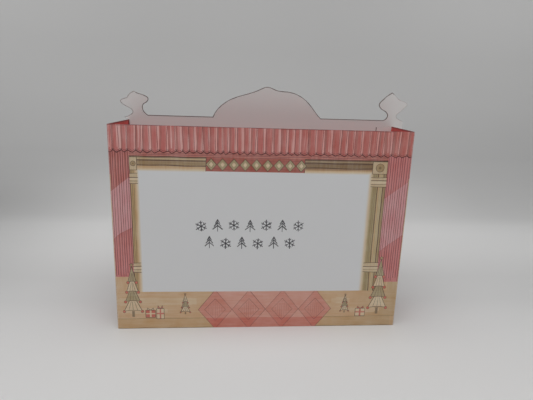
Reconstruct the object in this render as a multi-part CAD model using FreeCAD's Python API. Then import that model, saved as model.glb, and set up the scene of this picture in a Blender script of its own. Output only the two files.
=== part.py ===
import FreeCAD, Part
import math
import os

from FreeCAD import Placement, Rotation, Vector

os.makedirs("parts", exist_ok=True)

# A stand-up greeting card: one die-cut sheet of card, folded four times into an open sleeve
# and closed by a narrow flap glued inside its far panel. The far panel is cut at its top to
# a crest: a low dome between two small finials.
#
# +X runs along the card to the right, +Y from the near panel to the far one, +Z up. The
# origin is on the standing surface, under the middle of the crest and half-way between the
# panels. Lengths are in millimetres and angles in degrees.

# The sheet and its folds
sheet_thickness = 0.4
inside_fold_radius = 0.3

# The standing sleeve, measured over its outer faces
card_width = 178.0
panel_height = 127.0
card_depth = 44.4
rack = 2.05  # the far panel stands this far to the right of the near one

# The flap, glued to the inner face of the far panel
flap_width = 11.0
flap_end_taper = 0.8

# The crest. Heights are above the panels' top edge.
crest_offset = 2.45  # the crest's middle lies this far right of the far panel's middle
left_edge_rise = 3.2
right_edge_rise = 4.0
finial_inset = 2.5  # from half the card's width back to a finial's middle
overhang_past_finial = 7.4  # the far panel's free edge, from the middle of the right finial

# Outlines, as points (across, up) on smooth curves. The finials are measured from their own
# middle and the dome from the crest's middle. A finial has one list for each curve between
# its corners, from left to right.
left_finial = [
    [(-7.6, 1.6), (-3.8, 3.0), (-2.0, 5.2), (-3.4, 7.0), (-7.5, 9.2), (-9.6, 12.0), (-7.9, 13.2), (-5.4, 13.9)],
    [(-5.4, 13.9), (-4.6, 15.4), (-2.9, 17.1), (-0.7, 18.3)],
    [(-0.7, 18.3), (2.9, 16.7), (6.5, 15.5), (8.2, 14.0), (7.5, 11.6), (5.1, 10.0), (4.5, 7.4), (5.5, 5.2)],
]
right_finial = [
    [(-4.5, 5.3), (-3.7, 7.3), (-5.0, 9.5), (-8.5, 11.6), (-10.2, 14.6), (-8.2, 17.4), (-5.6, 19.9), (-1.7, 22.7)],
    [(-1.7, 22.7), (1.1, 20.3), (4.1, 17.9), (8.0, 16.6), (9.6, 15.2), (7.5, 12.4), (5.0, 9.8), (2.8, 7.8),
     (2.9, 6.2), (5.3, 4.6), (7.4, 3.6)],
]
finial_fillet_reach = 2.2  # from a finial's last point to where its foot meets the edge
dome = [
    (-33.9, 7.6), (-30.3, 11.3), (-22.3, 16.0), (-13.5, 18.8), (-6.0, 21.6), (-0.3, 23.6),
    (6.1, 21.6), (12.5, 21.0), (18.5, 19.8), (24.3, 16.8), (29.5, 12.0), (32.9, 7.8),
]
dome_half_foot = 36.4

middle_fold_radius = inside_fold_radius + sheet_thickness / 2
up = Vector(0, 0, 1)


def setback(turn):
    """Length of a panel that a fold takes up, from the corner of the middle line."""
    return middle_fold_radius * math.tan(math.radians(turn) / 2)


def straight(start, end):
    return Part.LineSegment(Vector(start[0], 0, start[1]), Vector(end[0], 0, end[1])).toShape()


def smooth(points):
    curve = Part.BSplineCurve()
    curve.interpolate([Vector(across, 0, rise) for across, rise in points])
    return curve.toShape()


def outline(points):
    """Face in the XZ plane with straight sides between the points."""
    closed = points + points[:1]
    return Part.Face(Part.Wire([straight(a, b) for a, b in zip(closed, closed[1:])]))


def shifted(points, across, up_by):
    return [(across + x, up_by + z) for x, z in points]


class Walk:
    """Follows the sheet's middle line from panel to fold to panel, and keeps their solids."""

    def __init__(self, x, y, heading):
        self.place = Placement(Vector(x, y, 0), Rotation(up, heading))
        self.solids = []

    def step(self, move):
        self.place = self.place.multiply(move)

    def keep(self, solid):
        solid.Placement = self.place.multiply(solid.Placement)
        self.solids.append(solid)

    def panel(self, face, length):
        """A flat panel of the sheet: its face stands on the middle line, which goes on by its length."""
        face.translate(Vector(0, -sheet_thickness / 2, 0))
        self.keep(face.extrude(Vector(0, sheet_thickness, 0)))
        self.step(Placement(Vector(length, 0, 0), Rotation()))

    def fold(self, turn):
        """A fold to the right, as high as the panels."""
        half = sheet_thickness / 2
        corners = [(-half, 0), (half, 0), (half, panel_height), (-half, panel_height), (-half, 0)]
        section = Part.Face(Part.makePolygon([Vector(0, y, z) for y, z in corners]))
        centre = Vector(0, -middle_fold_radius, 0)
        self.keep(section.revolve(centre, -up, turn))
        self.step(Placement(Vector(), Rotation(up, -turn), centre))


def blank(length):
    return outline([(0, 0), (length, 0), (length, panel_height), (0, panel_height)])


def glue_flap(length):
    """The flap's free edge comes first, and its ends slope so that it stays out of sight."""
    return outline([
        (0, flap_end_taper),
        (length, 0),
        (length, panel_height),
        (0, panel_height - flap_end_taper),
    ])


def crested_panel(fold_to_middle):
    """The far panel from its left fold, with the crest's middle at the given distance."""
    finial_middle = card_width / 2 - finial_inset
    left = [shifted(curve, fold_to_middle - finial_middle, panel_height) for curve in left_finial]
    right = [shifted(curve, fold_to_middle + finial_middle, panel_height) for curve in right_finial]
    free_edge = fold_to_middle + finial_middle + overhang_past_finial
    left_edge = panel_height + left_edge_rise
    right_edge = panel_height + right_edge_rise
    left[-1].append((left[-1][-1][0] + finial_fillet_reach, left_edge))
    right[0].insert(0, (right[0][0][0] - finial_fillet_reach, right_edge))
    dome_left = (fold_to_middle - dome_half_foot, left_edge)
    dome_right = (fold_to_middle + dome_half_foot, right_edge)
    dome_points = [dome_left] + shifted(dome, fold_to_middle, panel_height) + [dome_right]
    foot = left[0][0]
    edges = [
        straight((0, 0), (0, panel_height)),
        straight((0, panel_height), foot),
        *[smooth(curve) for curve in left],
        straight(left[-1][-1], dome_left),
        smooth(dome_points),
        straight(dome_right, right[0][0]),
        *[smooth(curve) for curve in right],
        straight(right[-1][-1], (free_edge, 0)),
        straight((free_edge, 0), (0, 0)),
    ]
    return Part.Face(Part.Wire(edges)), free_edge


def folded_card():
    width = card_width - sheet_thickness
    depth = card_depth - sheet_thickness
    lean = math.degrees(math.atan2(rack, depth))
    wide_turn = 90 + lean
    narrow_turn = 90 - lean
    side = math.hypot(rack, depth)
    # The right side stops one thickness short, so that the flap lies inside the far panel.
    right_side = side * (depth - sheet_thickness) / depth
    folds = setback(wide_turn) + setback(narrow_turn)
    near_middle = -(rack + crest_offset)
    flap_fold_x = near_middle + width / 2 + rack * right_side / side
    flap_y = depth / 2 - sheet_thickness

    walk = Walk(flap_fold_x - flap_width, flap_y, 0)
    flap_length = flap_width - setback(wide_turn)
    walk.panel(glue_flap(flap_length), flap_length)
    walk.fold(wide_turn)
    walk.panel(blank(right_side - folds), right_side - folds)
    walk.fold(narrow_turn)
    walk.panel(blank(width - folds), width - folds)
    walk.fold(wide_turn)
    walk.panel(blank(side - folds), side - folds)
    walk.fold(narrow_turn)
    far_panel, far_length = crested_panel(width / 2 + crest_offset - setback(narrow_turn))
    walk.panel(far_panel, far_length)

    sheet = walk.solids[0].fuse(walk.solids[1:])
    return sheet.removeSplitter()


card = folded_card()
solid = card.Solids[0]
box = solid.BoundBox
print("solids", len(card.Solids), "valid", solid.isValid(), "volume", round(solid.Volume, 1))
print("X", round(box.XMin, 2), round(box.XMax, 2), "Y", round(box.YMin, 2), round(box.YMax, 2),
      "Z", round(box.ZMin, 2), round(box.ZMax, 2), "faces", len(solid.Faces))
solid.exportStep("parts/folded_card.step")
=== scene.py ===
import math
import random

import bpy
from mathutils import Matrix, Vector
from mathutils.geometry import delaunay_2d_cdt


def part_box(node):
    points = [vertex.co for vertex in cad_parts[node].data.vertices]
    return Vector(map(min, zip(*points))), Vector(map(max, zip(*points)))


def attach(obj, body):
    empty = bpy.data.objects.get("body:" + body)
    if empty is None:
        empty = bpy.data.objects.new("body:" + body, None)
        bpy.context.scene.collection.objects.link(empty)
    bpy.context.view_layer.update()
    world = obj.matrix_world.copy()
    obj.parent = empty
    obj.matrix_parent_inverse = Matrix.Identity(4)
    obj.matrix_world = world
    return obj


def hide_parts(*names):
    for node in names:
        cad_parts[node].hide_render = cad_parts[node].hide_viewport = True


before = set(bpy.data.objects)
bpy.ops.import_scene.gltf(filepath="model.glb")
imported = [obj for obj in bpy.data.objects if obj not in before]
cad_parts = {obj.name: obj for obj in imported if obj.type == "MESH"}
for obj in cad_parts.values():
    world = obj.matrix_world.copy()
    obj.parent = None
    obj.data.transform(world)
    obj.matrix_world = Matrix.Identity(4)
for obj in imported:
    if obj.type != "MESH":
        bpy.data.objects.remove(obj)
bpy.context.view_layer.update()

# A stand-up greeting card of one printed sheet. The flat blank is cut and its print is drawn
# on it first, and then it is folded round the sleeve's path and given its thickness. The frame
# is in metres. The blank and its print are laid out in millimetres, as a printer would: across
# the sheet's outside from the near panel's middle, and up from its lower edge.

CARD_NODE = "folded_card"
MM = 0.001

# The sheet
THICKNESS = 0.4
FOLD_RADIUS = 0.5  # of the sheet's middle line
PANEL_HEIGHT = 127.0
BLANK_TOP = 160.0  # clear of the crest
RACK = 2.05  # the far panel stands this far to the right of the near one
FLAP_WIDTH = 11.0
FLAP_TAPER = 0.8
GLUE_LINE = 0.03
NEAR_BELLY = 1.2  # how far the middle of the near panel's top edge stands out

# Fineness of the mesh
GRID = 3.0
FOLD_STEPS = 8
STROKE_CORNER = 0.4  # a line that turns by more than this many radians is drawn in two

# Where the near panel's fields of colour end
HEM = 112.7
UNDER_BAND_LOW = 109.4
RAIL_LOW = 101.3
RAIL_GAP = (-34.0, 24.0)
SIDE_LEFT = -77.6
SIDE_RIGHT = 74.4
LEFT_BAND_LOW = 35.0
RIGHT_BAND_LOW = 31.0
MESSAGE_LEFT = -73.4
MESSAGE_RIGHT = 65.2
MESSAGE_LOW = 25.0
GROUND_STRIP = 6.8
LOZENGES = (-39.0, 46.0)
GROUND_TURNS = (60.0, 82.0)  # from tan to olive
STRIP_TURNS = (40.0, 86.0)
PANEL_EDGE = 89.0
BLEED = 1.0  # how far a field runs on past a fold, the card's foot or a field that covers it

# The top band's stripes and its hem, from the narrowest to the widest
STRIPE_PERIOD = (3.4, 5.0)
PALE_STRIPE = (0.8, 1.7)
HEM_DROP = (0.8, 1.5)

# The upright bands: the distance between their lines, and the pale sash across each, by its
# foot at the left, its rise to the right and its height
PLEAT = 1.4
SIDE_PLEAT = 1.5
BACK_PLEAT = 3.1
LEFT_SASH = (58.0, 9.0, 30.0)
RIGHT_SASH = (52.0, 12.0, 34.0)
SIDE_SASH = (48.0, 18.0, 26.0)

# The sides and the far panel
SIDE_GROUND = 9.0
FOLD_LINE_TOP = 98.0
FINIAL_MIDDLE = 86.5  # from the crest's middle to each finial's
FINIAL_HALF = 11.0
FINIAL_OUTER = (-309.0, -137.5)  # past these, the crest's browned line is faint
FINIAL_DIAMONDS = (12.5, 15.0)  # above the panels' top edge
BORDER = 3.2

# Colours of the card, the washes and the ink
WHITE = (0.845, 0.845, 0.832)
MESSAGE_WHITE = (0.77, 0.775, 0.785)
LEFT_RED = (0.622, 0.175, 0.160)
RIGHT_RED = (0.565, 0.127, 0.10)
ROSE = (0.63, 0.195, 0.19)
DEEP_ROSE = (0.44, 0.101, 0.067)
BLUSH = (0.83, 0.49, 0.46)
RIGHT_BLUSH = (0.765, 0.352, 0.322)
PLEAT_LIGHT = (0.72, 0.30, 0.30)
LILAC = (0.73, 0.368, 0.385)
MAROON = (0.455, 0.148, 0.122)
UNDER_BAND = (0.555, 0.193, 0.152)
SALMON = (0.695, 0.30, 0.225)
LIGHT_SALMON = (0.74, 0.385, 0.30)
DEEP_SALMON = (0.655, 0.175, 0.12)
TAN = (0.69, 0.482, 0.268)
OLIVE_TAN = (0.585, 0.413, 0.207)
DARK_TAN = (0.645, 0.44, 0.22)
CREAM = (0.77, 0.65, 0.43)
OCHRE = (0.65, 0.53, 0.32)
GOLD = (0.45, 0.325, 0.165)
PALE_GOLD = (0.575, 0.40, 0.172)
DARK_GOLD = (0.34, 0.235, 0.125)
OLIVE_GOLD = (0.45, 0.36, 0.18)
DEEP_GOLD = (0.27, 0.19, 0.09)
OLIVE = (0.46, 0.39, 0.21)
SEPIA = (0.11, 0.06, 0.04)
WINE = (0.22, 0.05, 0.05)
DARK_WINE = (0.12, 0.025, 0.025)
GREY_INK = (0.06, 0.06, 0.07)
# Browned cut edges, and also the painted shadow at the flap's free edge
SCORCH_AND_SHADOW = (0.13, 0.10, 0.085)
FAINT_SCORCH = (0.33, 0.29, 0.27)
TRACE_SCORCH = (0.55, 0.51, 0.50)

OUTSIDE = "outside"
INSIDE = "inside"


# The solid that the card stands for

def boundary(faces):
    """Corners round a patch of faces that share their edges, in order."""
    edges = {edge for face in faces for edge in zip(face, face[1:] + face[:1])}
    after = {start: end for start, end in edges if (end, start) not in edges}
    corners = [min(after)]
    while after[corners[-1]] != corners[0]:
        corners.append(after[corners[-1]])
    return corners


def face_outline(depth):
    """Outline (across, up) of the node's flat face at that y, anticlockwise seen from in front."""
    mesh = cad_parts[CARD_NODE].data
    faces = []
    for face in mesh.polygons:
        corners = [mesh.vertices[i].co for i in face.vertices]
        if all(abs(corner.y - depth) < 0.01 * MM for corner in corners):
            faces.append([(round(corner.x / MM, 3), round(corner.z / MM, 3)) for corner in corners])
    outline = boundary(faces)
    return outline if area(outline) > 0 else outline[::-1]


def between(one, two, share):
    return tuple(a + (b - a) * share for a, b in zip(one, two))


def area(points):
    return sum(a[0] * b[1] - b[0] * a[1] for a, b in zip(points, points[1:] + points[:1])) / 2


def setback(turn):
    return FOLD_RADIUS * math.tan(turn / 2)


class Sheet:
    """The sheet's path as it stands, seen from above, and its folds along the flat blank."""

    def __init__(self):
        low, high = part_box(CARD_NODE)
        near_y = low.y / MM + THICKNESS / 2
        far_y = high.y / MM - THICKNESS / 2
        lean = math.atan2(RACK, far_y - near_y)
        near = [x for x, z in face_outline(low.y)]
        self.far_face = face_outline(high.y)
        foot = [x for x, z in self.far_face if z < FLAP_TAPER]
        self.far_flat = min(foot)
        far_left = Vector((self.far_flat - setback(math.pi / 2 - lean), far_y))
        near_left = Vector((min(near) - setback(math.pi / 2 + lean), near_y))
        near_right = Vector((max(near) + setback(math.pi / 2 - lean), near_y))
        flap_y = far_y - THICKNESS - GLUE_LINE
        flap_fold = near_right + Vector((RACK, far_y - near_y)) * (flap_y - near_y) / (far_y - near_y)
        self.corners = [
            Vector((high.x / MM + GRID, far_y)),
            far_left,
            near_left,
            near_right,
            flap_fold,
            flap_fold - Vector((FLAP_WIDTH, 0)),
        ]
        self.folds, end = self.unrolled()
        middle = self.folds[1][1] + (near_right - near_left).length / 2 - setback(math.pi / 2 + lean)
        self.start = -middle
        self.folds = [(a - middle, b - middle) for a, b in self.folds]
        self.end = end - middle
        self.panel_width = (near_right - near_left).length

    def unrolled(self):
        """Start and end of each fold along the blank from the path's first point, and the blank's end."""
        folds = []
        travelled = 0.0
        cut = 0.0
        for before, corner, after in zip(self.corners, self.corners[1:], self.corners[2:]):
            turn = (corner - before).angle(after - corner)
            travelled += (corner - before).length - cut - setback(turn)
            folds.append((travelled, travelled + FOLD_RADIUS * turn))
            travelled = folds[-1][1]
            cut = setback(turn)
        return folds, travelled + (self.corners[-1] - self.corners[-2]).length - cut

    def far_across(self, x):
        """Place along the blank of a point of the far panel."""
        return self.folds[0][0] - (x - self.far_flat)

    def outline(self):
        """The blank's outline, anticlockwise on its outside."""
        fold = self.folds[0][0]
        far = [(self.far_across(x), z) for x, z in reversed(self.far_face)]
        corner = min(far, key=lambda point: abs(point[0] - fold) + abs(point[1] - PANEL_HEIGHT))
        first = far.index(corner)
        far = [point for point in far[first:] + far[:first] if point[1] > FLAP_TAPER or point[0] < fold - 1]
        flap = self.folds[3][1]
        return far + [
            (flap, 0.0),
            (self.end, FLAP_TAPER),
            (self.end, PANEL_HEIGHT - FLAP_TAPER),
            (flap, PANEL_HEIGHT),
        ]


# Drawing the print

def rectangle(left, right, low, high):
    return [(left, low), (right, low), (right, high), (left, high)]


def diamond_corners(x, z, half_width, half_height):
    return [(x - half_width, z), (x, z - half_height), (x + half_width, z), (x, z + half_height)]


def circle(x, z, radius, sides):
    """Points round a circle, from its right and back to there."""
    turns = [2 * math.pi * index / sides for index in range(sides + 1)]
    return [(x + radius * math.cos(turn), z + radius * math.sin(turn)) for turn in turns]


def parts(start, end, count):
    """Both ends of each of several equal parts, and how far along the whole its middle lies."""
    for index in range(count):
        low = start + (end - start) * index / count
        high = start + (end - start) * (index + 1) / count
        yield low, high, (index + 0.5) / count


class Artwork:
    """Flat shapes of colour, where a later one lies over an earlier one."""

    def __init__(self, seed):
        self.random = random.Random(seed)
        self.shapes = []

    def field(self, points, colour, wash=1.0, side=OUTSIDE):
        if area(points) < 0:
            points = points[::-1]
        self.shapes.append((points, (*colour, wash), side))

    def block(self, left, right, low, high, colour, wash=1.0):
        self.field(rectangle(left, right, low, high), colour, wash)

    def ragged_block(self, left, right, low, high, colour, lean):
        """An upright painted stripe with uneven long sides."""
        one, two = (self.by_hand((x, low), (x + lean, high), 0.12, 4.0) for x in (left, right))
        self.field(one + two[::-1], colour)

    def dot(self, x, z, radius, colour, wash=0.6, sides=10):
        self.field(circle(x, z, radius, sides)[:-1], colour, wash)

    def by_hand(self, start, end, sway=0.15, step=2.5):
        """Points of a line drawn by hand, which sways a little about the straight one."""
        start, end = Vector(start), Vector(end)
        length = (end - start).length
        across = Vector((start.y - end.y, end.x - start.x)) / max(length, 0.01)
        count = max(2, round(length / step))
        waves = [(self.random.uniform(0.02, 0.06), self.random.uniform(0, 6.3)) for _ in range(2)]
        points = []
        for index in range(count + 1):
            along = index / count
            off = sum(math.sin(6.28 * rate * along * length + phase) for rate, phase in waves)
            points.append(start.lerp(end, along) + across * off * sway)
        return points

    def stroke(self, points, width, colour, wash=0.35, side=OUTSIDE):
        """An inked line of uneven weight, one ribbon for each stretch without a corner."""
        points = [Vector(point) for point in points]
        ways = [(end - start).normalized() for start, end in zip(points, points[1:])]
        halves = [width / 2 * self.random.uniform(0.75, 1.2) for _ in ways]
        first = 0
        for last in range(1, len(points)):
            if last == len(ways) or ways[last - 1].angle(ways[last]) > STROKE_CORNER:
                stretch = slice(first, last)
                self.ribbon(points[first:last + 1], ways[stretch], halves[stretch], colour, wash, side)
                first = last

    def ribbon(self, points, ways, halves, colour, wash, side):
        """A stretch of a line, which laps a little over the next one at each end."""
        one, two = [], []
        for index, point in enumerate(points):
            before, after = max(index - 1, 0), min(index, len(ways) - 1)
            along = (ways[before] + ways[after]).normalized()
            half = (halves[before] + halves[after]) / 2
            across = Vector((-along.y, along.x)) * half
            if index == 0:
                point = point - along * half * 0.6
            if index == len(ways):
                point = point + along * half * 0.6
            one.append(point - across)
            two.append(point + across)
        self.field(one + two[::-1], colour, wash, side)

    def line(self, start, end, width, colour, sway=0.15, step=2.5):
        self.stroke(self.by_hand(start, end, sway, step), width, colour)

    def ring(self, x, z, radius, width, ink):
        self.stroke(circle(x, z, radius, 12), width, ink)

    def loop(self, points, width, ink):
        self.stroke(points + points[:1], width, ink)

    def outlined(self, points, colour, width, ink):
        self.field(points, colour)
        self.loop(points, width, ink)


def striped_band(art, left, right):
    """The top band: red and pale stripes of uneven width down to a pointed hem."""
    top = PANEL_HEIGHT + BLEED
    uniform = art.random.uniform
    low = HEM - 0.2
    art.block(left, right, HEM, top, LEFT_RED)
    x = left + 0.4
    hem = [(x, HEM)]
    while x < right:
        period = uniform(*STRIPE_PERIOD)
        pale = uniform(*PALE_STRIPE)
        lean = uniform(-0.5, 0.5)
        share = min(max((x + PANEL_EDGE) / (2 * PANEL_EDGE), 0.0), 1.0)
        red = between(LEFT_RED, RIGHT_RED, share)
        deep = between(red, MAROON, art.random.choice([0.5, 0.75, 0.95]))
        light = between(BLUSH, RIGHT_BLUSH, share)
        half_tone = between(red, light, 0.45)
        shadow = uniform(0.2, 0.45) * (period - pale)
        tones = [(shadow, deep), (period - pale - shadow - 0.4, red), (0.6, half_tone), (pale - 0.2, light)]
        art.ragged_block(x, x + period, low, top, red, lean=lean)
        start = x
        for width, tone in tones:
            art.ragged_block(start, start + width, low, top, tone, lean=lean)
            if tone in (deep, light) and art.random.random() < 0.75:
                art.line((start, HEM), (start + lean, PANEL_HEIGHT), 0.2, WINE, sway=0.12)
            start += width
        if art.random.random() < 0.45:
            start = x + uniform(0.3, 0.6) * period
            shade = art.random.choice([half_tone, light])
            art.ragged_block(start, start + uniform(0.3, 0.7), HEM + 1.5, top, shade, lean=lean)
        point = x + period * uniform(0.35, 0.65)
        drop = uniform(*HEM_DROP)
        art.field([(x, HEM + 0.1), (point, HEM - drop), (x + period, HEM + 0.1)], red)
        hem += [(point, HEM - drop), (x + period, HEM)]
        if art.random.random() < 0.7:
            art.dot(x, HEM + 0.2, 0.42, DARK_WINE)
        x += period
    art.stroke(hem, 0.56, DARK_WINE)
    art.stroke([(x, z + 1.0) for x, z in hem], 0.2, WINE)


def lined_band(art, left, right, low, high, colours, pitch, pale=None):
    """A washed upright band that passes from one colour at its foot to another at its top, with
    a paler sash where one is given, and fine light and inked lines down it."""
    for start, end, share in parts(low, high, 8):
        art.block(left, right, start, end, between(*colours, share))
    lines = []
    x = left + pitch / 2
    while x < right:
        lines.append((x + art.random.uniform(-0.12, 0.12), low + art.random.uniform(0.0, 3.0)))
        x += pitch * art.random.uniform(0.85, 1.15)
    for x, foot in lines:
        light = x + pitch * 0.45
        art.line((light, foot + 1), (light, high), pitch * 0.2, PLEAT_LIGHT, sway=0.07, step=6.0)
    if pale:
        sash(art, left, right, *pale)
    for x, foot in lines:
        art.line((x, foot), (x, high), pitch * 0.2, WINE, sway=0.07, step=6.0)


def sash(art, left, right, low, rise, height):
    """A paler band across a side, slanting up to the right, with an inked edge."""
    one, two = (art.by_hand((left, z), (right, z + rise), 0.3) for z in (low, low + height))
    art.field(one + two[::-1], LILAC)
    art.stroke(one, 0.16, MAROON)


def fade(art, left, right, low, high, one, two):
    """Narrow upright strips that pass from one colour to another."""
    for start, end, share in parts(left, right, 6):
        art.block(start, end, low, high, between(one, two, share))


def tone_at(tones, share):
    """Colour and wash at a place among the given ones."""
    for (low, one, one_wash), (high, two, two_wash) in zip(tones, tones[1:]):
        if share <= high:
            part = (share - low) / (high - low)
            return between(one, two, part), one_wash + (two_wash - one_wash) * part
    return tones[-1][1:]


def moulding(art, start, end, outward, tones, lines, cast):
    """A gilt moulding beside the message: tones that pass into one another outward, and inked
    lines along it. Both are placed by their share of its width. The cast darkens the gilt."""
    start, end, outward = Vector(start), Vector(end), Vector(outward)
    for near, far, _ in parts(tones[0][0], tones[-1][0], 20):
        colour, wash = tone_at(tones, (near + far) / 2)
        if wash > 0.99:
            colour = tuple(share * part for share, part in zip(cast, colour))
        corners = [start + outward * near, end + outward * near, end + outward * far, start + outward * far]
        art.field(corners, colour, wash)
    for place, weight, ink in lines:
        shift = outward * place
        art.line(start + shift, end + shift, weight, ink, sway=0.1)


RAIL_TONES = [
    (-0.07, MESSAGE_WHITE, 0.0), (0.07, CREAM, 0.8), (0.2, TAN, 1.0), (0.27, TAN, 1.0),
    (0.36, GOLD, 1.0), (0.6, GOLD, 1.0), (0.68, DARK_GOLD, 1.0), (0.78, DARK_GOLD, 1.0),
    (0.82, OCHRE, 1.0), (0.88, OCHRE, 1.0), (0.92, DARK_GOLD, 1.0), (1.0, DARK_GOLD, 1.0),
]
RAIL_LINES = [
    (0.37, 0.5, SEPIA), (0.48, 0.2, DEEP_GOLD), (0.57, 0.2, DEEP_GOLD), (0.73, 0.5, SEPIA),
    (0.98, 0.5, SEPIA),
]
LEFT_POST_TONES = [
    (-0.25, MESSAGE_WHITE, 0.0), (0.06, CREAM, 0.8), (0.28, TAN, 1.0), (0.45, PALE_GOLD, 1.0),
    (1.0, PALE_GOLD, 1.0),
]
LEFT_POST_LINES = [(0.5, 0.25, DEEP_GOLD), (0.7, 0.25, DEEP_GOLD), (0.93, 0.45, SEPIA)]
RIGHT_POST_TONES = [
    (-0.22, MESSAGE_WHITE, 0.0), (-0.04, CREAM, 0.8), (0.12, OLIVE_GOLD, 1.0), (0.4, OLIVE_GOLD, 1.0),
    (0.54, TAN, 1.0), (0.6, OCHRE, 1.0), (0.74, OCHRE, 1.0), (0.82, GOLD, 1.0), (1.0, GOLD, 1.0),
]
RIGHT_POST_LINES = [
    (0.2, 0.22, DEEP_GOLD), (0.3, 0.22, DEEP_GOLD), (0.44, 0.42, SEPIA), (0.58, 0.18, GOLD),
    (0.68, 0.18, GOLD), (0.8, 0.48, SEPIA), (0.97, 0.3, SEPIA),
]
LEFT_RAIL_CAST = (0.96, 0.95, 0.91)
RIGHT_RAIL_CAST = (0.63, 0.56, 0.49)
LEFT_POST_CAST = (0.93, 0.94, 0.93)
RIGHT_POST_CAST = (0.93, 0.95, 0.87)


def diamond(art, x, z, half_width, half_height, colour, ink, width):
    art.outlined(diamond_corners(x, z, half_width, half_height), colour, width, ink)


def rails(art):
    """Two level mouldings over the message, with a row of diamonds in the gap between them."""
    gap_left, gap_right = RAIL_GAP
    outward = (0, UNDER_BAND_LOW - RAIL_LOW)
    for left, right, cast in (
        (SIDE_LEFT, gap_left, LEFT_RAIL_CAST),
        (gap_right, SIDE_RIGHT, RIGHT_RAIL_CAST),
    ):
        moulding(art, (left, RAIL_LOW), (right, RAIL_LOW), outward, RAIL_TONES, RAIL_LINES, cast)
    art.block(gap_left, gap_right, RAIL_LOW, UNDER_BAND_LOW, DEEP_ROSE)
    middle = (RAIL_LOW + UNDER_BAND_LOW) / 2
    for z in (middle - 2.6, middle, middle + 2.6):
        art.line((gap_left, z), (gap_right, z), 0.16, WINE)
    for x in RAIL_GAP:
        art.line((x, RAIL_LOW), (x, UNDER_BAND_LOW), 0.34, SEPIA)
    x = gap_left + 3
    while x < gap_right - 2:
        diamond(art, x, middle, 3.1, 3.5, OLIVE, SEPIA, 0.34)
        diamond(art, x, middle, 1.5, 1.8, CREAM, DEEP_GOLD, 0.2)
        x += 6.6


def corner_block(art, left, right, low, high):
    """A square block with a rosette, where two mouldings meet."""
    art.outlined(rectangle(left, right, low, high), OCHRE, 0.3, SEPIA)
    x, z = (left + right) / 2, (low + high) / 2
    radius = min(right - left, high - low) * 0.34
    art.dot(x, z, radius, GOLD)
    art.ring(x, z, radius, 0.24, SEPIA)
    art.dot(x, z, radius * 0.35, DEEP_GOLD)


def plinth(art, left, right, low, high):
    """A stepped foot under an upright moulding."""
    height = high - low
    art.block(left, right, low, high, OCHRE)
    art.block(left, right, low + height * 0.35, low + height * 0.6, CREAM)
    for share, weight in ((0.0, 0.3), (0.3, 0.2), (0.62, 0.4), (1.0, 0.3)):
        z = low + height * share
        art.line((left - 0.3, z), (right + 0.3, z), weight, SEPIA)


def posts(art):
    """The upright mouldings beside the message, each with a corner block and two plinths."""
    for inner, outer, tones, lines, cast in (
        (MESSAGE_LEFT, SIDE_LEFT, LEFT_POST_TONES, LEFT_POST_LINES, LEFT_POST_CAST),
        (MESSAGE_RIGHT, SIDE_RIGHT, RIGHT_POST_TONES, RIGHT_POST_LINES, RIGHT_POST_CAST),
    ):
        moulding(art, (inner, MESSAGE_LOW), (inner, RAIL_LOW), (outer - inner, 0), tones, lines, cast)
    for left, right in ((SIDE_LEFT, MESSAGE_LEFT), (MESSAGE_RIGHT, SIDE_RIGHT)):
        corner_block(art, left, right, RAIL_LOW, UNDER_BAND_LOW - 0.6)
        plinth(art, left, right, RAIL_LOW - 8, RAIL_LOW - 2)
        plinth(art, left, right, MESSAGE_LOW + 13, MESSAGE_LOW + 19)


def fir_tree(art, x, z, width, height, tiers):
    """A little fir in ink and wash, with baubles at its tips."""
    trunk = height * 0.12
    crown = height - trunk
    art.block(x - width * 0.07, x + width * 0.07, z, z + trunk, DEEP_GOLD)
    lows = [z + trunk + crown * tier / (tiers + 0.6) for tier in range(tiers)]
    halves = [width / 2 * (1 - 0.72 * tier / tiers) for tier in range(tiers)]
    for tier, (low, half) in enumerate(zip(lows, halves)):
        top = min(z + height, low + crown * 1.75 / (tiers + 0.6))
        dips = [(x - half / 3, low + 0.5), (x + half / 3, low + 0.5)]
        skirt = [(x - half, low), *dips, (x + half, low), (x, top)]
        art.outlined(skirt, OLIVE if tier % 2 else CREAM, 0.32, SEPIA)
        for hatch in (-0.45, 0.0, 0.45):
            foot = (x + hatch * half, low + 0.7)
            art.line(foot, (x + hatch * half * 0.4, low + (top - low) * 0.55), 0.18, SEPIA)
    for low, half in zip(lows, halves):
        for side in (-1, 1):
            bauble = (x + side * half, low - 0.35, width * 0.08)
            art.dot(*bauble, DEEP_SALMON)
            art.ring(*bauble, 0.18, SEPIA)
    star(art, x, z + height + width * 0.06, width * 0.13)


def star(art, x, z, radius):
    points = []
    for index in range(10):
        reach = radius if index % 2 == 0 else radius * 0.45
        angle = math.pi / 2 + math.pi * index / 5
        points.append((x + reach * math.cos(angle), z + reach * math.sin(angle)))
    art.outlined(points, GOLD, 0.16, SEPIA)


def parcel(art, x, z, width, height, paper, ribbon):
    """A small wrapped parcel with a crossed ribbon and a bow."""
    left, right, top = x - width / 2, x + width / 2, z + height
    art.block(left, right, z, top, paper)
    art.block(x - width * 0.09, x + width * 0.09, z, top, ribbon)
    art.block(left, right, z + height * 0.45, z + height * 0.6, ribbon)
    art.loop(rectangle(left, right, z, top), 0.28, SEPIA)
    for side in (-1, 1):
        bow = [(x + side * width * out, top + height * up) for out, up in ((0.3, 0.3), (0.34, 0.05))]
        art.outlined([(x, top), *bow], ribbon, 0.22, SEPIA)


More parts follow.
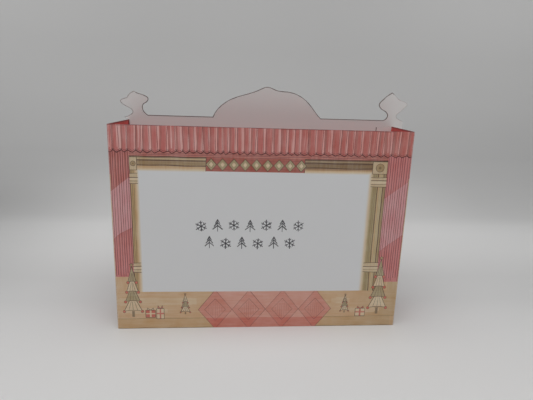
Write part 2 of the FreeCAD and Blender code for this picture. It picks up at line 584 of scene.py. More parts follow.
def snowflake(art, x, z, radius):
    """Six inked arms with a pair of barbs on each."""
    middle = Vector((x, z))
    turn = art.random.uniform(-0.12, 0.12)
    for index in range(6):
        angle = turn + math.pi * (index / 3 + 1 / 6)
        way = Vector((math.cos(angle), math.sin(angle)))
        aside = Vector((-way.y, way.x))
        tip = middle + way * radius * art.random.uniform(0.92, 1.08)
        art.stroke([middle, tip], 0.55, GREY_INK, MESSAGE_WASH)
        fork = middle + way * radius * 0.55
        for side in (-1, 1):
            barb = fork + (way * 0.8 + aside * side) * radius * 0.3
            art.stroke([fork, barb], 0.42, GREY_INK, MESSAGE_WASH)


def small_fir(art, x, z, height):
    """A little fir of three inked chevrons on a trunk."""
    art.stroke([(x, z - height / 2), (x, z + height / 2)], 0.45, GREY_INK, MESSAGE_WASH)
    for tier in range(3):
        top = z + height * (0.5 - 0.25 * tier)
        half = height * (0.17 + 0.1 * tier) * art.random.uniform(0.92, 1.08)
        low = top - height * 0.32
        art.stroke([(x - half, low), (x, top), (x + half, low)], 0.6, GREY_INK, MESSAGE_WASH)


MESSAGE_MIDDLE = (-7.5, 62.7)
MESSAGE_PITCH = 9.8
MESSAGE_ROWS = 5.4  # above and below the middle
MESSAGE_WASH = 0.15


def message_ornament(art):
    """Two staggered rows of inked snowflakes and firs, in the middle of the message panel."""
    x, z = MESSAGE_MIDDLE
    for row, count, rise in ((0, 7, MESSAGE_ROWS), (1, 6, -MESSAGE_ROWS)):
        for index in range(count):
            across = x + MESSAGE_PITCH * (index - (count - 1) / 2)
            up = z + rise + art.random.uniform(-0.4, 0.4)
            if (index + row) % 2:
                small_fir(art, across, up, 7.4)
            else:
                snowflake(art, across, up, 3.3)


# Paler patches of the ground: left, right, low and high, up from the ground's darker strip
LIGHT_PATCHES = [
    (-90.0, -40.0, 9.5, 13.5), (46.0, 58.0, 10.0, 13.0), (-84.0, -58.0, 4.0, 6.5), (56.0, 78.0, 3.5, 5.5),
]
# What stands on the ground: its middle, its foot, its width and height, and the fir's tiers or
# the parcel's paper and ribbon
GROUND_MOTIFS = [
    (fir_tree, -79.0, 8.0, 11.0, 34.0, 4),
    (parcel, -68.5, 7.5, 6.0, 5.0, DEEP_SALMON, CREAM),
    (parcel, -62.5, 6.5, 4.6, 7.0, CREAM, DEEP_SALMON),
    (fir_tree, -47.0, 9.5, 6.0, 13.5, 3),
    (fir_tree, 76.5, 8.5, 12.0, 38.0, 4),
    (parcel, 65.5, 7.0, 6.4, 5.4, CREAM, DEEP_SALMON),
    (fir_tree, 55.0, 9.5, 5.4, 12.5, 3),
]


def tan_ground(art, edge):
    """The ground below the message: paler patches, faint grain and a darker strip at the foot."""
    art.block(-edge, edge, -BLEED, PANEL_HEIGHT, TAN)
    fade(art, *GROUND_TURNS, GROUND_STRIP, MESSAGE_LOW, TAN, OLIVE_TAN)
    pale = between(TAN, CREAM, 0.5)
    for left, right, low, high in LIGHT_PATCHES:
        art.block(left, right, GROUND_STRIP + low, GROUND_STRIP + high, pale)
        art.block(left + 3, right - 3, GROUND_STRIP + low - 0.6, GROUND_STRIP + high + 0.6, pale)
    art.block(GROUND_TURNS[1], edge, GROUND_STRIP, MESSAGE_LOW + 10, OLIVE_TAN)
    for _ in range(22):
        x = art.random.uniform(-84, 84)
        z = art.random.uniform(GROUND_STRIP + 2, MESSAGE_LOW - 3)
        art.line((x, z), (x + art.random.uniform(3, 9), z + 0.2), 0.16, DARK_TAN)
    art.block(-edge, edge, -BLEED, GROUND_STRIP, DARK_TAN)
    fade(art, *STRIP_TURNS, -BLEED, GROUND_STRIP, DARK_TAN, OLIVE_TAN)
    for z, width in ((GROUND_STRIP, 0.22), (0.2, 0.3)):
        art.line((-edge, z), (edge, z), width, DEEP_GOLD)


def lozenge_ground(art):
    """Big salmon lozenges, edge to edge, with lighter ones between them, deeper along their foot."""
    left, right = LOZENGES
    count = 4
    half = (right - left) / count / 2
    middle = MESSAGE_LOW / 2
    foot, head = -BLEED, MESSAGE_LOW + BLEED
    shaded = half * (GROUND_STRIP - foot) / (middle - foot)
    centres = [left + half * (2 * index + 1) for index in range(count)]
    for x in centres[:-1]:
        after = x + 2 * half
        for z in (head, foot):
            art.field([(x, z), (after, z), (x + half, middle)], LIGHT_SALMON)
        shade = [(x, foot), (after, foot), (after - shaded, GROUND_STRIP), (x + shaded, GROUND_STRIP)]
        art.field(shade, between(SALMON, DEEP_SALMON, 0.5))
    for x in centres:
        corners = diamond_corners(x, middle, half, middle - foot)
        art.field(corners, SALMON)
        art.field([(x - shaded, GROUND_STRIP), (x, foot), (x + shaded, GROUND_STRIP)], DEEP_SALMON)
        art.loop(corners, 0.22, WINE)
        art.loop(diamond_corners(x, middle, half * 0.62, middle * 0.6), 0.18, WINE)
        for hatch in range(-3, 4):
            across = x + hatch * half * 0.13
            rise = middle * 0.5 * (1 - abs(hatch) / 4)
            art.line((across, middle + rise), (across, middle - rise), 0.15, MAROON, sway=0.1)


def near_panel(art):
    """The print of the near panel, from its ground up, without the top band."""
    edge = PANEL_EDGE + BLEED
    tan_ground(art, edge)
    lozenge_ground(art)
    lined_band(art, -edge, SIDE_LEFT, LEFT_BAND_LOW, HEM, (ROSE, DEEP_ROSE), PLEAT, LEFT_SASH)
    lined_band(art, SIDE_RIGHT, edge, RIGHT_BAND_LOW, HEM, (ROSE, ROSE), PLEAT, RIGHT_SASH)
    art.block(SIDE_LEFT, SIDE_RIGHT, UNDER_BAND_LOW, HEM + 0.3, UNDER_BAND)
    for z in (UNDER_BAND_LOW + 0.1, UNDER_BAND_LOW + 1.1, UNDER_BAND_LOW + 2.0):
        art.line((SIDE_LEFT, z), (SIDE_RIGHT, z), 0.22, WINE)
    art.block(MESSAGE_LEFT, MESSAGE_RIGHT, MESSAGE_LOW, RAIL_LOW, MESSAGE_WHITE, wash=0.0)
    rails(art)
    posts(art)
    message_ornament(art)
    for motif, *sizes in GROUND_MOTIFS:
        motif(art, *sizes)


def sides(art, sheet):
    """Both sides' outsides, and the tan lines along three of the folds."""
    for left, right in ((sheet.folds[0][0], -PANEL_EDGE), (PANEL_EDGE, sheet.folds[3][1] + BLEED)):
        lined_band(art, left, right, SIDE_GROUND - BLEED, HEM, (ROSE, DEEP_ROSE), SIDE_PLEAT, SIDE_SASH)
        art.block(left, right, -BLEED, SIDE_GROUND, TAN)
        art.block(left, right, -BLEED, GROUND_STRIP, DARK_TAN)
    for x in (0.1 - PANEL_EDGE, PANEL_EDGE - 0.1, sheet.folds[0][1] + 0.6):
        art.line((x, -BLEED), (x, FOLD_LINE_TOP), 0.9, DARK_TAN, sway=0.05)


def back(art, sheet, outline):
    """The far panel's outside: a lined red wash inside a tan border that follows the cut, with
    tan finials."""
    left, right = sheet.start, sheet.folds[0][0]
    lined_band(art, left, right + 9, -BLEED, BLANK_TOP, (LEFT_RED, ROSE), BACK_PLEAT)
    edge = [Vector(point) for point in outline if point[0] < 0]
    for before, start, end in zip([edge[0]] + edge, edge, edge[1:]):
        along = (end - start).normalized()
        inward = Vector((-along.y, along.x)) * BORDER
        art.field([start, end, end + inward, start + inward], TAN)
        if (start - before).length > 0 and (start - before).angle(end - start) > 0.3:
            art.dot(start.x, start.y, BORDER, TAN, wash=1.0, sides=16)
    for side, height in zip((-1, 1), FINIAL_DIAMONDS):
        x = sheet.far_across(side * FINIAL_MIDDLE)
        art.block(x - FINIAL_HALF, x + FINIAL_HALF, PANEL_HEIGHT + BLEED, BLANK_TOP, TAN)
        diamond(art, x, PANEL_HEIGHT + height, 2.4, 3.2, LEFT_RED, WINE, 0.3)
    art.block(left, right, -BLEED, GROUND_STRIP, DARK_TAN)


def crest_line(art, outline, side):
    """The browned line along the crest's cut edge, fainter round the outer sides of the finials."""
    edge = [point for point in outline if point[1] > PANEL_HEIGHT + 1]
    for start, end in zip(edge, edge[1:]):
        width, ink = 0.8, SCORCH_AND_SHADOW
        if start[0] > FINIAL_OUTER[1]:
            width, ink = 0.65, FAINT_SCORCH
        if start[0] < FINIAL_OUTER[0]:
            width, ink = 0.5, TRACE_SCORCH
        art.stroke([start, end], width, ink, wash=0.2, side=side)


def flap_edge_shadow(art, sheet):
    """A painted shadow along the flap's free edge, drawn as a dark line on its inner face."""
    x = sheet.end - 0.2
    art.stroke([(x, FLAP_TAPER), (x, PANEL_HEIGHT - FLAP_TAPER)], 0.5, SCORCH_AND_SHADOW, wash=0.2, side=INSIDE)


def draw(sheet, outline):
    art = Artwork(seed=11)
    back(art, sheet, outline)
    near_panel(art)
    sides(art, sheet)
    striped_band(art, sheet.folds[0][0], sheet.folds[3][0])
    edge, top = PANEL_EDGE + BLEED, PANEL_HEIGHT - 0.15
    art.line((-edge, top), (edge, top), 0.3, WINE)
    for side in (OUTSIDE, INSIDE):
        crest_line(art, outline, side)
    flap_edge_shadow(art, sheet)
    return art.shapes


# The blank as a mesh

def triangulated(sheet, outline, shapes):
    """Triangles that follow the outline, the shapes' edges and the folds, each with its origins."""
    points = []
    edges = []
    faces = []

    def polygon(corners):
        first = len(points)
        points.extend(corners)
        return list(range(first, len(points)))

    faces.append(polygon(outline))
    for shape, _, _ in shapes:
        faces.append(polygon(shape))
    for start, end in sheet.folds:
        for step in range(FOLD_STEPS + 1):
            x = start + (end - start) * step / FOLD_STEPS
            edges.append(tuple(polygon([(x, 0.0), (x, PANEL_HEIGHT)])))
    columns = math.ceil((sheet.end - sheet.start) / GRID)
    rows = math.ceil(BLANK_TOP / GRID)
    for column in range(columns):
        for row in range(rows):
            points.append((sheet.start + (column + 0.5) * GRID, (row + 0.5 + 0.5 * (column % 2)) * GRID))
    found = delaunay_2d_cdt([Vector(point) for point in points], edges, faces, 1, 1e-5, True)
    return found[0], [(triangle, origin) for triangle, origin in zip(found[2], found[5]) if 0 in origin]


def attribute(mesh, name, kind, domain, values):
    """Stores a value for each point, corner or face of the mesh."""
    key = "color" if kind == "FLOAT_COLOR" else "value"
    mesh.attributes.new(name, kind, domain).data.foreach_set(key, values)


def flat_blank(sheet):
    """The blank as two flat layers, its printed outside and its inside, with one rim."""
    outline = sheet.outline()
    shapes = draw(sheet, outline)
    drawn = shapes
    default = {OUTSIDE: (*LEFT_RED, 1.0), INSIDE: (*WHITE, 0.0)}
    flat = []
    faces = []
    colours = []
    layers = []
    for side, layer in ((OUTSIDE, 1.0), (INSIDE, -1.0)):
        places, kept = triangulated(sheet, outline, drawn)
        used = sorted({index for triangle, _ in kept for index in triangle})
        number = {old: len(flat) + new for new, old in enumerate(used)}
        flat += [(places[old].x * MM, 0.0, places[old].y * MM) for old in used]
        layers += [layer] * len(used)
        for triangle, origin in kept:
            corners = [number[index] for index in triangle]
            faces.append(corners if side == OUTSIDE else corners[::-1])
            over = [index for index in origin if index and drawn[index - 1][2] == side]
            colours.append(drawn[max(over) - 1][1] if over else default[side])
        outline = [places[index] for index in boundary([triangle for triangle, _ in kept])]
        drawn = [shape for shape in shapes if shape[2] == INSIDE]
    mesh = bpy.data.meshes.new("blank")
    mesh.from_pydata(flat, [], faces)

    corner_colours = [part for colour in colours for _ in range(3) for part in colour]
    attribute(mesh, "print", "FLOAT_COLOR", "CORNER", corner_colours)
    sheet_map = mesh.uv_layers.new(name="sheet")
    places = [flat[loop.vertex_index] for loop in mesh.loops]
    sheet_map.data.foreach_set("uv", [part for x, _, z in places for part in (x, z)])
    attribute(mesh, "layer", "FLOAT", "POINT", layers)
    slack = 0.01
    folded = [any(a - slack < x / MM < b + slack for a, b in sheet.folds) for x, _, _ in flat]
    attribute(mesh, "crease", "FLOAT", "POINT", [float(crease) for crease in folded])
    first, last = sheet.folds[0][0], sheet.folds[3][0]
    middles = [sum((Vector(flat[index]) for index in face), Vector()) / 3 / MM for face in faces]
    unlined = [int(place.x < first or place.x > last or place.z > PANEL_HEIGHT) for place in middles]
    attribute(mesh, "unlined", "INT", "FACE", unlined)
    return mesh


# Folding

def new_object(name, data):
    """An object at the origin, put into the scene."""
    made = bpy.data.objects.new(name, data)
    bpy.context.scene.collection.objects.link(made)
    return made


def sleeve_path(sheet):
    """The path's corners, as an open curve that the nodes round off and follow."""
    curve = bpy.data.curves.new("sleeve_path", "CURVE")
    curve.dimensions = "3D"
    spline = curve.splines.new("POLY")
    spline.points.add(len(sheet.corners) - 1)
    for point, corner in zip(spline.points, sheet.corners):
        point.co = (corner.x * MM, corner.y * MM, 0, 1)
    return new_object("sleeve_path", curve)


class Tree:
    """Short ways to add a node to a tree and to take its result."""

    def __init__(self, tree):
        self.tree = tree

    def add(self, kind, inputs=None, **settings):
        made = self.tree.nodes.new(kind)
        for name, value in settings.items():
            setattr(made, name, value)
        for key, value in (inputs or {}).items():
            if isinstance(value, bpy.types.NodeSocket):
                self.tree.links.new(value, made.inputs[key])
            else:
                made.inputs[key].default_value = value
        return made

    def first(self, kind, inputs=None, **settings):
        """A new node's first output."""
        return self.add(kind, inputs, **settings).outputs[0]

    def maths(self, operation, one, two=0.0, three=0.0, clamp=False):
        inputs = {0: one, 1: two, 2: three}
        return self.first("ShaderNodeMath", inputs, operation=operation, use_clamp=clamp)

    def times(self, one, two):
        return self.maths("MULTIPLY", one, two)

    def vector(self, operation, one, two):
        return self.first("ShaderNodeVectorMath", {0: one, 1: two}, operation=operation)

    def scaled(self, vector, share):
        return self.first("ShaderNodeVectorMath", {0: vector, "Scale": share}, operation="SCALE")

    def apart(self, vector):
        return self.add("ShaderNodeSeparateXYZ", {0: vector}).outputs

    def mix(self, share, one, two, blend="MIX"):
        made = self.add("ShaderNodeMix", {0: share, 6: one, 7: two}, data_type="RGBA", blend_type=blend)
        return made.outputs[2]

    def noise(self, vector, scale, detail=3.0, roughness=0.5):
        inputs = {"Vector": vector, "Scale": scale, "Detail": detail, "Roughness": roughness}
        return self.add("ShaderNodeTexNoise", inputs).outputs["Fac"]

    def grouped(self, group, inputs):
        return self.add("ShaderNodeGroup", inputs, node_tree=group).outputs


def node_group(name, inputs, outputs, kind="ShaderNodeTree"):
    """A new group with its tree and what it is given. Each socket is named with what it holds,
    or with its usual value where that is a number."""
    group = bpy.data.node_groups.new(name, kind)
    for way, sockets in (("INPUT", inputs), ("OUTPUT", outputs)):
        for label, value in sockets.items():
            number = isinstance(value, float)
            socket_type = "NodeSocket" + ("Float" if number else value)
            made = group.interface.new_socket(name=label, in_out=way, socket_type=socket_type)
            if number:
                made.default_value = value
    tree = Tree(group)
    return group, tree, tree.add("NodeGroupInput").outputs


def folding_tree(materials, sizes):
    """Carries the flat blank on to the rounded path, lets the near panel belly out, and gives
    the sheet its two faces and its cut edge."""
    inputs = {"Geometry": "Geometry", "Path": "Object", **sizes, "Fold Steps": "Int"}
    group, tree, given = node_group("fold_the_sheet", inputs, {"Geometry": "Geometry"}, "GeometryNodeTree")

    def stored(name, kind):
        return tree.first("GeometryNodeInputNamedAttribute", {"Name": name}, data_type=kind)

    def dress(geometry, material, where=True):
        inputs = {"Geometry": geometry, "Selection": where, "Material": material}
        return tree.first("GeometryNodeSetMaterial", inputs)

    corners = tree.add("GeometryNodeObjectInfo", {"Object": given["Path"]})
    rounded = tree.first("GeometryNodeFilletCurve", {
        "Curve": corners.outputs["Geometry"],
        "Count": given["Fold Steps"],
        "Radius": given["Fold Radius"],
    }, mode="POLY")
    place = tree.apart(tree.first("GeometryNodeInputPosition"))
    across, up = place["X"], place["Z"]

    # The crest's foot and finial stay in the far panel's plane where they pass its fold.
    above = tree.maths("GREATER_THAN", up, tree.maths("ADD", given["Panel Height"], 1e-6))
    past = tree.maths("MAXIMUM", tree.maths("SUBTRACT", across, given["Far Fold"]), 0.0)
    straight_on = tree.times(above, past)
    length = tree.maths("SUBTRACT", tree.maths("SUBTRACT", across, straight_on), given["Path Start"])
    sample = tree.add("GeometryNodeSampleCurve", {"Curves": rounded, "Length": length}, mode="LENGTH")
    tangent = sample.outputs["Tangent"]
    moved = tree.vector("ADD", sample.outputs["Position"], tree.scaled(tangent, straight_on))
    moved = tree.vector("ADD", moved, tree.first("ShaderNodeCombineXYZ", {"Z": up}))

    share = tree.maths("DIVIDE", across, given["Panel Width"])
    near = tree.maths("LESS_THAN", tree.maths("ABSOLUTE", share), 0.5)
    arch = tree.maths("COSINE", tree.times(share, math.pi))
    rise = tree.maths("POWER", tree.maths("DIVIDE", up, given["Panel Height"]), 1.5)
    belly = tree.times(tree.times(arch, rise), given["Near Belly"])
    outward = tree.vector("CROSS_PRODUCT", tangent, (0, 0, 1))
    moved = tree.vector("ADD", moved, tree.scaled(outward, tree.times(belly, near)))

    # Each layer lies half the thickness from the path.
    sheet = tree.first("GeometryNodeStoreNamedAttribute", {
        "Geometry": given["Geometry"],
        "Name": "outward",
        "Value": outward,
    }, data_type="FLOAT_VECTOR", domain="POINT")
    sheet = tree.first("GeometryNodeSetPosition", {"Geometry": sheet, "Position": moved})
    layer = stored("layer", "FLOAT")
    half = tree.scaled(stored("outward", "FLOAT_VECTOR"), tree.times(given["Thickness"], 0.5))
    offset = tree.scaled(half, layer)
    sheet = tree.first("GeometryNodeSetPosition", {"Geometry": sheet, "Offset": offset})
    inside = tree.maths("LESS_THAN", layer, 0.0)
    sheet = dress(sheet, materials["print"])
    sheet = dress(sheet, materials["lining"], inside)
    sheet = dress(sheet, materials["bare"], tree.times(inside, stored("unlined", "INT")))

    # The cut edge is drawn from the outside's rim to the inside's.
    neighbours = tree.first("GeometryNodeInputMeshEdgeNeighbors")
    rim = tree.first("FunctionNodeCompare", {2: neighbours, 3: 1}, data_type="INT", operation="EQUAL")
    walled = tree.add("GeometryNodeExtrudeMesh", {
        "Mesh": sheet,
        "Selection": tree.times(rim, tree.maths("GREATER_THAN", layer, 0.0)),
        "Offset Scale": 0.0,
    }, mode="EDGES")
    sheet = dress(walled.outputs["Mesh"], materials["edge"], walled.outputs["Side"])
    sheet = tree.first("GeometryNodeSetPosition", {
        "Geometry": sheet,
        "Selection": walled.outputs["Top"],
        "Offset": tree.scaled(half, -2.0),
    })
    welded = tree.first("GeometryNodeMergeByDistance", {"Geometry": sheet, "Distance": 1e-7})
    real = tree.first("GeometryNodeRealizeInstances", {"Geometry": welded})
    tree.add("NodeGroupOutput", {"Geometry": real})
    return group


def folded_card(sheet, materials):
    piece = new_object("printed_card", flat_blank(sheet))
    path = sleeve_path(sheet)
    sizes = {
        "Thickness": THICKNESS * MM,
        "Fold Radius": FOLD_RADIUS * MM,
        "Path Start": sheet.start * MM,
        "Far Fold": sheet.folds[0][0] * MM,
        "Panel Height": PANEL_HEIGHT * MM,
        "Panel Width": sheet.panel_width * MM,
        "Near Belly": NEAR_BELLY * MM,
    }
    folding = piece.modifiers.new("fold", "NODES")
    folding.node_group = folding_tree(materials, sizes)
    values = {"Path": path, "Fold Steps": 2 * FOLD_STEPS, **sizes}
    for item in folding.node_group.interface.items_tree:
        if item.in_out == "INPUT" and item.name in values:
            folding[item.identifier] = values[item.name]
    bpy.context.view_layer.update()
    mesh = bpy.data.meshes.new_from_object(piece.evaluated_get(bpy.context.evaluated_depsgraph_get()))
    mesh.name = "printed_card"
    piece.modifiers.clear()
    piece.data = mesh
    bpy.data.objects.remove(path)
    for name in ("outward", "layer", "unlined"):
        mesh.attributes.remove(mesh.attributes[name])
    mesh.polygons.foreach_set("use_smooth", [True] * len(mesh.polygons))
    mesh.set_sharp_from_angle(angle=math.radians(40))
    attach(piece, "root")
    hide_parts(CARD_NODE)


# Finishes shared by the materials

LINING_RED = (0.80, 0.088, 0.074, 1)
SHADED_AND_BROWNED_LINING = (0.12, 0.03, 0.035, 1)
RUBBED_PRINT = (0.80, 0.70, 0.68, 1)
LINING_RIM = 0.7  # how far the lining is browned down from its top edge
EDGE_RIM = 1.0
TOOTH_DEPTH = 0.00006


def in_millimetres(tree):
    """Place on the flat sheet, in millimetres."""
    return tree.scaled(tree.first("ShaderNodeUVMap", uv_map="sheet"), 1 / MM)


def paper_tooth():
    """The uncoated card's fibres and tooth, as a height and a roughness."""
    outputs = {"Height": "Float", "Roughness": "Float"}
    group, tree, given = node_group("paper_tooth", {"Fibre Scale": 2.2}, outputs)
    place = in_millimetres(tree)
    fibres = tree.noise(tree.vector("MULTIPLY", place, (1.0, 0.55, 1.0)), given["Fibre Scale"], 5.0, 0.62)
    cloud = tree.noise(place, 0.12, 2.0)
    height = tree.maths("ADD", fibres, tree.times(cloud, 0.5))
    rough = tree.maths("MULTIPLY_ADD", fibres, 0.22, 0.5)
    tree.add("NodeGroupOutput", {"Height": height, "Roughness": rough})
    return group


def watercolour():
    """A wash: clouds, brush streaks and grains of pigment over a flat colour. The streaks run
    upright, and along the card on its ground."""
    inputs = {"Colour": "Color", "Strength": 1.0, "Cloud Scale": 0.09, "Streak Scale": 0.8}
    group, tree, given = node_group("watercolour", inputs, {"Colour": "Color"})
    place = in_millimetres(tree)
    cloud = tree.noise(place, given["Cloud Scale"], 4.0, 0.55)
    upright, level = (
        tree.noise(tree.vector("MULTIPLY", place, stretch), given["Streak Scale"], 3.0, 0.6)
        for stretch in ((1.0, 0.11, 1.0), (0.08, 0.9, 1.0))
    )
    ground = tree.maths("LESS_THAN", tree.apart(place)["Y"], MESSAGE_LOW)
    turned = tree.times(ground, tree.maths("SUBTRACT", level, upright))
    streak = tree.maths("ADD", upright, turned)
    grain = tree.noise(place, 2.6, 4.0, 0.7)
    load = 0.0
    for layer, weight in ((cloud, 1.3), (streak, 1.1), (grain, 0.7)):
        load = tree.maths("ADD", load, tree.maths("MULTIPLY_ADD", layer, weight, -weight / 2))
    load = tree.maths("ADD", load, 0.5, clamp=True)
    thin = tree.mix(0.2, given["Colour"], (0.84, 0.78, 0.75, 1))
    thick = tree.mix(0.8, given["Colour"], (0.88, 0.72, 0.69, 1), "MULTIPLY")
    washed = tree.mix(load, thin, thick)
    tree.add("NodeGroupOutput", {"Colour": tree.mix(given["Strength"], given["Colour"], washed)})
    return group


def rubbed_crease():
    """Where the print is rubbed pale along a fold, as a mask."""
    group, tree, given = node_group("rubbed_crease", {"Amount": 0.5}, {"Mask": "Float"})
    sharp = tree.maths("POWER", creased(tree), 6.0)
    rub = tree.noise(in_millimetres(tree), 0.9, 4.0, 0.7)
    rub = tree.maths("MULTIPLY_ADD", rub, 3.0, -1.15, clamp=True)
    mask = tree.times(tree.times(sharp, rub), given["Amount"])
    tree.add("NodeGroupOutput", {"Mask": mask})
    return group


def creased(tree):
    """One in the folds, and none elsewhere."""
    return tree.add("ShaderNodeAttribute", attribute_name="crease").outputs["Fac"]


def card_material(name, tooth, colour, fibre_scale=2.2, strength=0.35):
    """A matt card finish whose colour is worked out by the given function of the tree."""
    material = bpy.data.materials.new(name)
    material.use_nodes = True
    material.node_tree.nodes.clear()
    tree = Tree(material.node_tree)
    paper = tree.grouped(tooth, {"Fibre Scale": fibre_scale})
    relief = {"Height": paper["Height"], "Strength": strength, "Distance": TOOTH_DEPTH}
    surface = tree.first("ShaderNodeBsdfPrincipled", {
        "Base Color": colour(tree),
        "Roughness": paper["Roughness"],
        "Normal": tree.first("ShaderNodeBump", relief),
        "Specular IOR Level": 0.3,
    })
    tree.add("ShaderNodeOutputMaterial", {"Surface": surface})
    return material


def print_colour(tree, wash, crease, rub):
    """The drawn colour, washed, and rubbed pale at its folds."""
    drawn = tree.add("ShaderNodeAttribute", attribute_name="print").outputs
    washed = tree.grouped(wash, {"Colour": drawn["Color"], "Strength": drawn["Alpha"]})["Colour"]
    mask = tree.grouped(crease, {"Amount": rub})["Mask"]
    return tree.mix(mask, washed, RUBBED_PRINT)


def lining_colour(tree, wash):
    """Flat deep red, a little patchy, with painted shade in its folds and browned along its top edge."""
    inputs = {"Colour": LINING_RED, "Strength": 0.35, "Cloud Scale": 0.05}
    washed = tree.grouped(wash, inputs)["Colour"]
    # Painted shade in the folds' inner corners; the top edge's darkening is browning
    folds = tree.times(creased(tree), 0.85)
    rim = tree.maths("GREATER_THAN", tree.apart(in_millimetres(tree))["Y"], PANEL_HEIGHT - LINING_RIM)
    browned = tree.maths("MAXIMUM", folds, tree.times(rim, 0.6))
    return tree.mix(browned, washed, SHADED_AND_BROWNED_LINING)


def edge_colour(tree):
    """The cut edge: pale card low down, browned along the top."""
    place = tree.add("ShaderNodeTexCoord").outputs["Object"]
    top = tree.maths("GREATER_THAN", tree.apart(place)["Z"], (PANEL_HEIGHT - EDGE_RIM) * MM)
    fibre = tree.noise(tree.scaled(place, 1 / MM), 3.0, 3.0)
    pale = tree.mix(fibre, (0.62, 0.52, 0.48, 1), (0.46, 0.33, 0.30, 1))
    brown = tree.mix(fibre, (0.24, 0.19, 0.16, 1), (0.13, 0.10, 0.085, 1))
    return tree.mix(top, pale, brown)


def card_materials():
    tooth, wash, crease = paper_tooth(), watercolour(), rubbed_crease()
    return {
        "print": card_material("washed_print", tooth, lambda tree: print_colour(tree, wash, crease, 0.6)),
        "lining": card_material("red_lining", tooth, lambda tree: lining_colour(tree, wash)),
        "bare": card_material("bare_card", tooth, lambda tree: print_colour(tree, wash, crease, 0.1)),
        "edge": card_material("cut_edge", tooth, edge_colour, 4.0, 0.6),
    }


# The stage, the light and the camera

FLOOR_Z = -0.0001
SWEEP_START = 0.20
SWEEP_RADIUS = 0.42
STAGE_HALF = 1.6
STAGE_FRONT = -1.3
WALL_TOP = 1.7
WORLD_LIGHT = 0.115

# The stage's painted light and shade, as a grey by the distance back plus the height from a line under the
# card's middle: a painted shadow round the card's foot, and the wall shaded darker than the floor
PAINTED_STAGE_SHADING = [
    (-0.10, 0.808), (-0.05, 0.775), (-0.01, 0.728), (0.015, 0.683), (0.055, 0.678), (0.085, 0.722),
    (0.115, 0.767), (0.17, 0.807), (0.20, 0.798), (0.235, 0.715), (0.28, 0.68), (0.34, 0.65),
    (0.40, 0.585), (0.46, 0.543), (0.55, 0.558), (0.65, 0.582), (0.80, 0.588), (0.94, 0.627),
]
# Soft shade at each side: across the stage from none to full, then along it where it comes in
# and where it goes, and its depth. Below zero it lightens.
SIDE_SHADES = [
    ((-0.14, -0.36), (0.0, 0.07), (0.50, 0.23), 0.39),
    ((0.18, 0.35), (0.10, 0.26), (0.46, 0.32), 0.11),
    ((0.10, 0.67), (0.40, 1.05), (3.0, 2.0), -0.31),
    ((-0.10, -0.67), (0.40, 1.05), (3.0, 2.0), -0.31),
]


def graded(tree, value, greys):
    """A grey that passes from one given value to the next along a coordinate."""
    low, high = greys[0][0], greys[-1][0]
    share = tree.first("ShaderNodeMapRange", {"Value": value, "From Min": low, "From Max": high})
    toned = tree.add("ShaderNodeValToRGB", {0: share})
    ramp = toned.color_ramp
    for index, (place, grey) in enumerate(greys):
        at = (place - low) / (high - low)
        if index < 2:
            element = ramp.elements[index]
            element.position = at
        else:
            element = ramp.elements.new(at)
        element.color = (grey, grey, grey * 0.995, 1)
    return toned.outputs["Color"]


def side_shade(tree, across, along, reach, comes, goes, depth):
    """Share of the light that is left where a soft shade lies over one side of the stage."""
    shade = depth
    for value, limits in ((across, reach), (along, comes), (along, goes)):
        inputs = {"Value": value, "From Min": limits[0], "From Max": limits[1]}
        swell = tree.first("ShaderNodeMapRange", inputs, interpolation_type="SMOOTHSTEP")
        shade = tree.times(swell, shade)
    return tree.maths("SUBTRACT", 1.0, shade)


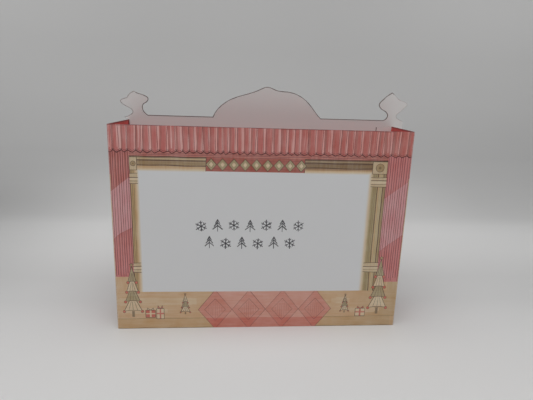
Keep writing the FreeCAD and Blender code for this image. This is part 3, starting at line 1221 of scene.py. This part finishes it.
def stage():
    """A pale floor that sweeps up into the wall behind."""
    steps = 40
    profile = [(STAGE_FRONT, FLOOR_Z)]
    for step in range(steps + 1):
        angle = math.pi / 2 * step / steps
        across = SWEEP_START + SWEEP_RADIUS * math.sin(angle)
        profile.append((across, FLOOR_Z + SWEEP_RADIUS * (1 - math.cos(angle))))
    profile.append((SWEEP_START + SWEEP_RADIUS, WALL_TOP))
    points = [(side * STAGE_HALF, y, z) for y, z in profile for side in (-1, 1)]
    faces = [(2 * i, 2 * i + 1, 2 * i + 3, 2 * i + 2) for i in range(len(profile) - 1)]
    mesh = bpy.data.meshes.new("studio_floor")
    mesh.from_pydata(points, [], faces)
    mesh.polygons.foreach_set("use_smooth", [True] * len(faces))
    floor = new_object("studio_floor", mesh)
    material = bpy.data.materials.new("studio_paper")
    material.use_nodes = True
    tree = Tree(material.node_tree)
    surface = material.node_tree.nodes["Principled BSDF"]
    surface.inputs["Roughness"].default_value = 0.85
    place = tree.apart(tree.add("ShaderNodeTexCoord").outputs["Object"])
    along = tree.maths("ADD", place["Y"], place["Z"])
    # Painted light and shade: the graded grey, with the painted side shades laid over it
    grey = graded(tree, along, PAINTED_STAGE_SHADING)
    for shade in SIDE_SHADES:
        grey = tree.scaled(grey, side_shade(tree, place["X"], along, *shade))
    material.node_tree.links.new(grey, surface.inputs["Base Color"])
    mesh.materials.append(material)


def area_light(name, place, target, size, power):
    lamp = bpy.data.lights.new(name, "AREA")
    lamp.shape = "DISK"
    lamp.size = size
    lamp.energy = power
    made = new_object(name, lamp)
    made.location = place
    made.rotation_euler = (Vector(target) - Vector(place)).to_track_quat("-Z", "Y").to_euler()


def lights():
    world = bpy.data.worlds.new("room")
    world.use_nodes = True
    background = world.node_tree.nodes["Background"]
    background.inputs["Color"].default_value = (1.0, 1.0, 1.0, 1)
    background.inputs["Strength"].default_value = WORLD_LIGHT
    bpy.context.scene.world = world
    area_light("overhead", place=(-0.06, -0.35, 1.25), target=(0, 0.02, 0.05), size=1.3, power=10.7)
    area_light("front_fill", place=(0.0, -1.25, 0.75), target=(0, 0, 0.07), size=1.2, power=1.4)


EYE = (-0.02457, -0.27068, 0.14583)
PITCH = math.radians(13.839)
YAW = math.radians(5.060)
ROLL = math.radians(-1.897)
LENS = 28.952
SENSOR = 36.0


def camera():
    """The photograph's point of view."""
    forward = Vector((math.sin(YAW) * math.cos(PITCH), math.cos(YAW) * math.cos(PITCH), -math.sin(PITCH)))
    right = Vector((math.cos(YAW), -math.sin(YAW), 0))
    down = forward.cross(right)
    turned_right = math.cos(ROLL) * right + math.sin(ROLL) * down
    turned_down = -math.sin(ROLL) * right + math.cos(ROLL) * down
    data = bpy.data.cameras.new("camera")
    data.lens = LENS
    data.sensor_width = SENSOR
    data.clip_start = 0.01
    made = new_object("camera", data)
    axes = Matrix((turned_right, -turned_down, -forward)).transposed().to_4x4()
    made.matrix_world = Matrix.Translation(EYE) @ axes
    bpy.context.scene.camera = made


bpy.context.scene.view_settings.view_transform = "Standard"
camera()
lights()
stage()
folded_card(Sheet(), card_materials())
